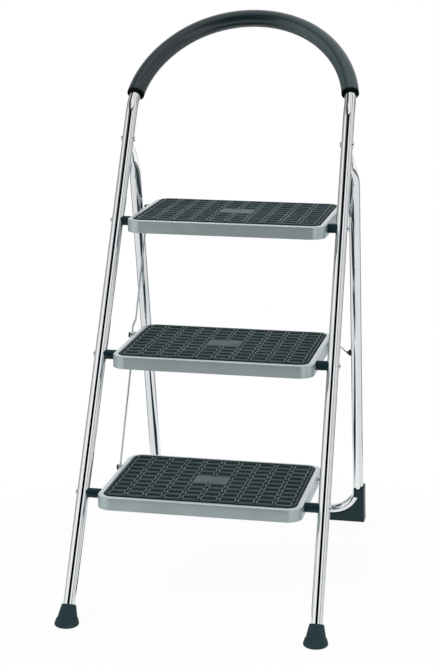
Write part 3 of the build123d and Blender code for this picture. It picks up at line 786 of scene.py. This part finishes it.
# %% Finish: silver powder coat
paint, tree, place = new_finish("silver_powder_coat", Metallic=0.6, Specular_IOR_Level=0.5)
flakes = noise(tree, place, 1900, 1)
mottle = noise(tree, place, 14, 3)
silver = blend_colours(tree, span(tree, mottle, 0.3, 0.7), linear(164, 177, 180), linear(173, 186, 189))
flecked = blend_colours(tree, span(tree, flakes, 0.55, 0.75), silver, linear(192, 203, 206))
connect(
    tree,
    # painted highlight: the marked rim rows blend to a lighter silver
    Base_Color=blend_colours(tree, mesh_mark(tree), flecked, linear(214, 222, 225)),
    Roughness=flakes * 0.1 + mottle * 0.06 + 0.25,
    Normal=bump(tree, noise(tree, place, 420, 2), 0.05, 0.0004),
)
print("paint nodes", len(tree.nodes))

# %% [markdown]
# Each tread is a shallow pan pressed from sheet steel. Its edge is one profile carried round a rounded
# rectangle: up inside the skirt, round the lower edge, up the skirt, over the rounded rim and down into
# the recess that holds the mat. Both ends of the profile close at the middle of the pan.

# %% Tread pans
tread_half = np.array([tread_side, 135.5])
tread_corner, rim_round, rim_width, skirt_middle = 28.0, 3.0, 10.0, -12
recess, sheet, skirt, edge = 3.0, 1.2, 23.6, 0.3
corner_signs = np.array([[1, 1], [-1, 1], [-1, -1], [1, -1]])


def corner_arcs(count):
    """The signs of a rectangle's corners, and points of the unit circle, with a count of points a corner."""
    turns = (np.linspace(0, math.pi / 2, count) + np.arange(4)[:, None] * math.pi / 2).ravel()
    return np.repeat(corner_signs, count, axis=0), np.stack([np.cos(turns), np.sin(turns)], -1)


def raised(rows, heights):
    """Rows of flat points, each lifted to its height."""
    return np.concatenate([rows, np.broadcast_to(heights[:, None, None], (*rows.shape[:2], 1))], -1)


def tray(insets, heights):
    """Rounded rectangle at each inset and height: corner centre + (corner radius - inset) * unit circle."""
    signs, units = corner_arcs(13)
    rows = signs * (tread_half - tread_corner) + (tread_corner - insets)[:, None, None] * units
    grid = raised(rows, heights)
    poles = grid[[0, -1]] * [0, 0, 1]
    return np.concatenate([poles[:1], grid, poles[1:]])


rim_turn = np.linspace(0, math.pi / 2, 9)
pan_insets = np.concatenate([
    [sheet, sheet, 0.95, 0.25, 0, 0],
    rim_round * (1 - np.cos(rim_turn)),
    rim_width - np.array([4, 0.8, 0.3, 0.08, 0, 0]),
])
pan_heights = np.concatenate([
    [-recess - sheet, edge - skirt, -skirt, -skirt, edge - skirt, skirt_middle],
    rim_round * (np.sin(rim_turn) - 1),
    [0, 0, -0.12, -0.4, -0.9, -recess],
])
pan = tray(pan_insets, pan_heights)
# painted highlight: full on the rim's rounding, weaker on its flat top
painted_rim_highlight = np.zeros(len(pan))
round_rows, top_rows = slice(11, 15), slice(15, 20)
painted_rim_highlight[round_rows], painted_rim_highlight[top_rows] = 1.0, 0.65
pan_highlight_marks = np.repeat(painted_rim_highlight, pan.shape[1])
rim_centres = {}
for step in steps:
    lowest, highest = (np.array(corner) * 1000 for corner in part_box(f"tread_{step}"))
    rim_centres[step] = np.array([0, (lowest[1] + highest[1]) / 2, highest[2]])
    pan_shape = join(pan + rim_centres[step])
    put(f"{step}_pan", pan_shape, f"step_{step}", [f"tread_{step}"], paint, pan_highlight_marks)
print("pan", (2 * tread_half).round(1), "mm, rim", rim_width, "mm wide")

# %% [markdown]
# The mats are black rubber, painted pale on the tops of the rings and on the plate, where shoes wear
# it, and more on the ends and fronts of the rings, which are painted highlights. The outer wall and the
# foot of the border are painted near black, a painted shade. The meshes carry that as a mark: above 0 is
# wear and painted highlight, below 0 is painted shade. A broad noise makes the pale marks uneven.

# %% Finish: mat rubber
mat_rubber, tree, place = new_finish("mat_rubber", Specular_IOR_Level=0.1)
grain = noise(tree, place, 800, 3)
wear_and_painted_light = mesh_mark(tree)
patchy = span(tree, noise(tree, place, 22, 4), 0.25, 0.75, 0.55, 1.0)
plain_rubber = blend_colours(tree, grain, linear(24, 41, 44), linear(33, 50, 53))
# painted shade: marks below 0 blend to near black
rubber_with_painted_shade = blend_colours(tree, span(tree, wear_and_painted_light, -1.0, 0.0), linear(2, 6, 7), plain_rubber)
connect(
    tree,
    # marks above 0: wear, and painted highlights on the ring ends and fronts
    Base_Color=blend_colours(tree, wear_and_painted_light.math("MAXIMUM", 0) * patchy, rubber_with_painted_shade, linear(124, 142, 146)),
    Roughness=grain * 0.15 - wear_and_painted_light * 0.08 + 0.5,
    Normal=bump(tree, grain, 0.22, 0.0004),
)
print("mat rubber nodes", len(tree.nodes))

# %% [markdown]
# A mat is one moulding: a raised border, and ten by ten rounded rings for grip, with a smooth bare plate
# in the middle that takes the place of four of them. The rings could be a bump pattern, but from a low
# angle their walls show, so each is a small closed rib. One rib is worked out once and added to all the
# ring centres at the same time.

# %% Mats
mat_inset, border, ring_count, ring_gap, ring_corner = rim_width + 0.8, 7, 10, 1.1, 5.6
edge_insets = mat_inset + np.array([0, 0, 0.25, 0.9, 1.6, 3.6, 4.3, 4.7, 5.1])
edge_heights = np.array([-2.9, 0.5, 1.1, 1.5, 1.6, 1.6, 1.45, 1.0, 0.1])
# below 0 on the outer wall and the border's inner foot: painted shade; above 0 on the border top: wear
edge_wear_and_shade = np.array([-1, -1, -1, -0.9, -0.3, 0.15, 0.3, 0.2, -0.3, -0.5, 0])
base = tray(edge_insets, edge_heights)

pitch = 2 * (tread_half - mat_inset - border) / ring_count
rib_insets = np.array([0, 0.8, 2.2, 3.1])
rib_heights = np.array([0.05, 1.9, 1.95, 0.05])
rib_wear_and_highlight = np.array([0, 0.75, 0.9, 0])
rib_signs, rib_units = corner_arcs(3)
rib_rows = rib_signs * (pitch / 2 - ring_gap - ring_corner)
rib_rows = rib_rows + (ring_corner - rib_insets)[:, None, None] * rib_units
rib = raised(rib_rows, rib_heights)
count = np.arange(ring_count)
in_middle = np.isin(count, [4, 5])
free = ~(in_middle[:, None] & in_middle[None, :])
lines = (pitch[axis] * (count - (ring_count - 1) / 2) for axis in (0, 1))
centres = np.stack(np.meshgrid(*lines, indexing="ij"), -1)[free]
ribs = rib[None] + np.insert(centres, 2, 0, 1)[:, None, None]

plate_half, plate_top = pitch - 1.2, 1.5
plate_insets, plate_heights = np.array([0, 0.5, 1.2]), np.array([0.05, 1.3, plate_top])
plate_worn = np.array([0, 0.2, 0.55, 0.55])
plate = raised(corner_signs * (plate_half - plate_insets[:, None, None]), plate_heights)
plate = np.concatenate([plate, np.broadcast_to([0, 0, plate_top], (1, 4, 3))])

mat_faces, mat_points = join(base, plate)
rib_starts = len(mat_points) + rib[..., 0].size * np.arange(len(ribs))
rib_faces = quads(*rib.shape[:2]).reshape(-1, 4) + rib_starts[:, None, None]
mat_faces = np.concatenate([mat_faces, rib_faces.reshape(-1, 4)])
mat_points = np.concatenate([mat_points, ribs.reshape(-1, 3)])
# painted highlight: the rib mark is strongest on the ring ends and on the fronts
highlight_facing = np.maximum(0.3 + 0.85 * rib_units[:, 0] ** 2, -0.75 * rib_units[:, 1])
mat_wear_and_light = np.concatenate([
    np.repeat(edge_wear_and_shade, base.shape[1]),
    np.repeat(plate_worn, plate.shape[1]),
    np.tile((rib_wear_and_highlight[:, None] * highlight_facing).ravel(), len(ribs)),
])
for step in steps:
    mat_shape = (mat_faces, mat_points + rim_centres[step])
    put(f"{step}_mat", mat_shape, f"step_{step}", [f"mat_{step}"], mat_rubber, mat_wear_and_light)
print("rings", len(ribs), "a mat, pitch", pitch.round(1), "mm")

# %% [markdown]
# The wires, studs and axles are steel with a bright zinc plating: a metal with a soft sheen, slightly
# spangled. It is the cheap finish for small parts, rougher than the chrome of the tubes.

# %% Finish: zinc plate
zinc, tree, place = new_finish("bright_zinc", Metallic=1.0)
spangle = noise(tree, place, 320, 3)
connect(
    tree,
    Base_Color=blend_colours(tree, spangle, linear(208, 213, 216), linear(232, 236, 238)),
    Roughness=spangle * 0.18 + 0.2,
    Normal=bump(tree, spangle, 0.1, 0.0002),
)
print("zinc nodes", len(tree.nodes))

# %% [markdown]
# Outside each leg the axle ends in a low round head, which a riveting machine spins out of the rod. It is
# a turned shape again, and starts a little inside the tube, so that no gap shows on the curved wall.

# %% Axle heads
head_distances = tube_radius + np.array([-3, -3, 0.6, 1.6, 2.2, 2.6, 2.8])
head_radii = np.array([0, 5.0, 5.0, 4.8, 4.1, 2.6, 0])
for step in steps:
    head = turned(axles[step], leg_x[step] + head_distances, head_radii, 32)
    heads = join(head, head * [-1, 1, 1])
    put(f"{step}_axle_heads", heads, "front", [f"axle_caps_{step}"], zinc)
print("axle heads", 2 * head_radii.max(), "mm across")

# %% [markdown]
# A stay link of bent wire holds the rear frame at its spread. It loops round a stud of the middle tread,
# and its far end turns outwards into a flanged bush on the rear leg. The turn is a cubic curve between two
# headings, swept with a circle, which is the smooth bend that a wire former gives.

# %% Stay links
wire_radius, wire_lift, wire_turn, loop_radius = 1.8, 7.0, 40.0, 4.9
wire_from_stud, wire_into_bush, bush_speed = 5, 4, 24
stud = hinges["stay_right_turn"]
bush_centre = np.mean([np.array(corner) * 1000 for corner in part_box("stay_pin_right")], axis=0)
bush_face = rear_half - tube_radius
link_line = (bush_centre - stud) * [0, 1, 1]
link_length = np.linalg.norm(link_line)
link_line /= link_length
link_over = np.cross(across_x, link_line)
wire_start = stud + wire_from_stud * link_line
turn_start = stud + (link_length - wire_turn) * link_line + wire_lift * link_over
turn_end = np.array([bush_face - wire_into_bush, *bush_centre[1:]])
wire_heading = (turn_start - wire_start) / np.linalg.norm(turn_start - wire_start)


def hermite(t, start, start_speed, end, end_speed):
    """Cubic through both ends with the given speeds, and its own speed along the way."""
    t = t[:, None]
    place = (2 * t**3 - 3 * t**2 + 1) * start + (t**3 - 2 * t**2 + t) * start_speed
    place = place + (3 * t**2 - 2 * t**3) * end + (t**3 - t**2) * end_speed
    speed = 6 * (t**2 - t) * (start - end) + (3 * t**2 - 4 * t + 1) * start_speed
    return place, speed + (3 * t**2 - 2 * t) * end_speed


turn_points, turn_speed = hermite(
    np.linspace(0, 1, 25), turn_start, wire_turn * wire_heading, turn_end, bush_speed * across_x,
)
wire_points = np.concatenate([[wire_start, wire_start], turn_points, turn_points[-1:]])
wire_tangents = np.concatenate([[wire_heading, wire_heading], turn_speed, turn_speed[-1:]])
wire_tangents /= np.linalg.norm(wire_tangents, axis=1)[:, None]
wire_side = np.cross(wire_tangents, link_over)
wire_side /= np.linalg.norm(wire_side, axis=1)[:, None]
wire_over = np.cross(wire_side, wire_tangents)
wire_width = np.full(len(wire_points), wire_radius)
wire_width[[0, -1]] = 0
round_wire = circle(20)
wire_rings = round_wire[:, :1] * wire_side[:, None] + round_wire[:, 1:] * wire_over[:, None]
wire_grid = wire_points[:, None] + wire_width[:, None, None] * wire_rings
loop_ring = np.insert(circle(33)[np.arange(34) % 33], 0, 0, 1)
loop_outwards = (loop_radius + wire_radius * round_wire[:, :1]) * loop_ring[:, None]
loop_grid = stud + loop_outwards + wire_radius * round_wire[:, 1:] * across_x
stay_distances = bush_face + np.array([4, 4, 0, -2.6, -3.4, -3.8, -4.6, -6, -8, -8.4, -8.4])
stay_radii = np.array([0, 6.2, 6.2, 6.2, 5.9, 5.2, 3.8, 2.9, 2.5, 2.2, 0])
stay_bush = turned(bush_centre * [0, 1, 1], stay_distances, stay_radii, 32)
for side, flip in reversed(sides):
    stay_wire = join(wire_grid * flip, loop_grid * flip)
    nodes = [f"stay_link_{side}", f"stay_plug_{side}"]
    put(f"{side}_stay_wire", stay_wire, f"stay_{side}", nodes, zinc)
    nodes = [f"stay_pin_{side}"]
    put(f"{side}_stay_bush", join(stay_bush * flip), "rear", nodes, plastic)
print("stay wire", round(link_length, 1), "mm from stud to bush")

# %% [markdown]
# The rest are small steel and plastic parts: axles, studs and their caps, rivets and tie rods. They are
# plain turned and bent shapes that the CAD model already has right, so they keep their CAD meshes and get
# the finish that their record names.

# %% Small parts
finishes = {
    "chrome": chrome, "steel": zinc, "foam": foam, "tread_paint": paint,
    "mat_rubber": mat_rubber, "foot_rubber": foot_rubber, "black_plastic": plastic,
}
for part in frame["record"]["subparts"]:
    node = frame["nodes"][part["node"]]
    node.data.materials.clear()
    node.data.materials.append(finishes[part["material_slot"]])
shown = sorted(name for name, node in frame["nodes"].items() if not node.hide_render)
print("CAD pieces still shown:", shown)
